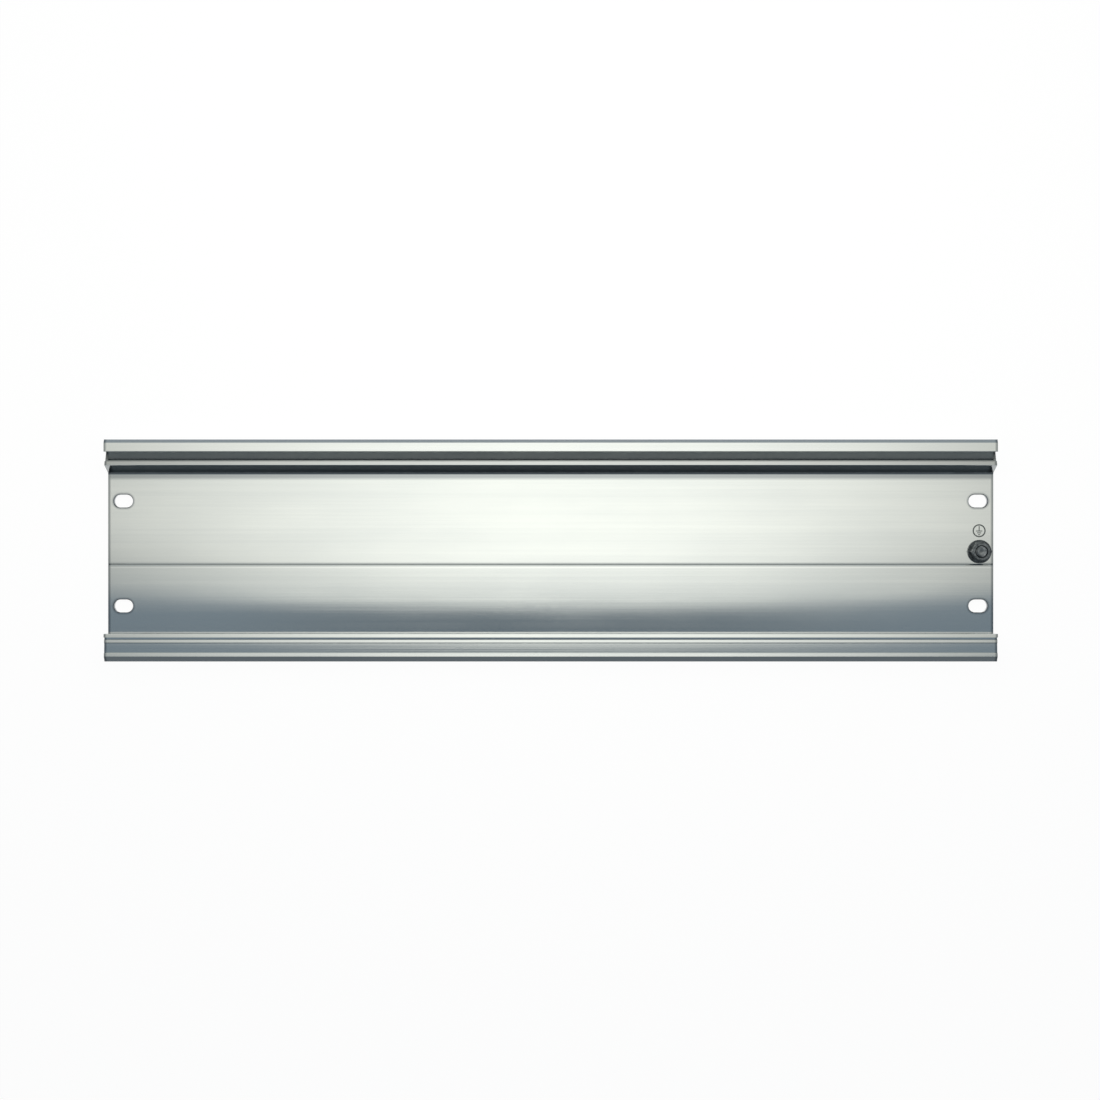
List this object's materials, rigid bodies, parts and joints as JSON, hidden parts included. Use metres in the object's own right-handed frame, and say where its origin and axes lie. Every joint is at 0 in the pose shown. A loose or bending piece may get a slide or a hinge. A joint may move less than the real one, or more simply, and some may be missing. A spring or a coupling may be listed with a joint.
{
  "type": "plc mounting rail",
  "caption": "Extruded aluminium mounting rail for controller modules, with a hooking lip along one edge, a screw flange along the other, slotted fixing holes and an earth stud.",
  "frame": {"origin": "centre of the rail's length and width, on the plane of its wall face", "axes": "+X along the length toward the end with the earth stud, +Y across the rail toward the hooking edge, +Z out of the wall face toward the modules"},
  "size_m": [0.4826, 0.12, 0.015],
  "materials": {
    "rail_aluminium": "mill finish, drawn lines along the length",
    "stud_steel": "dark passivated",
    "washer_steel": "dark passivated",
    "nut_steel": "dark passivated",
    "sign_ink": "matt printing ink of the earth sign"
  },
  "bodies": {
    "root": {"mounting_rail": "rail_aluminium", "earth_stud": "stud_steel", "flat_washer": "washer_steel", "hex_nut": "nut_steel"}
  },
  "joints": []
}
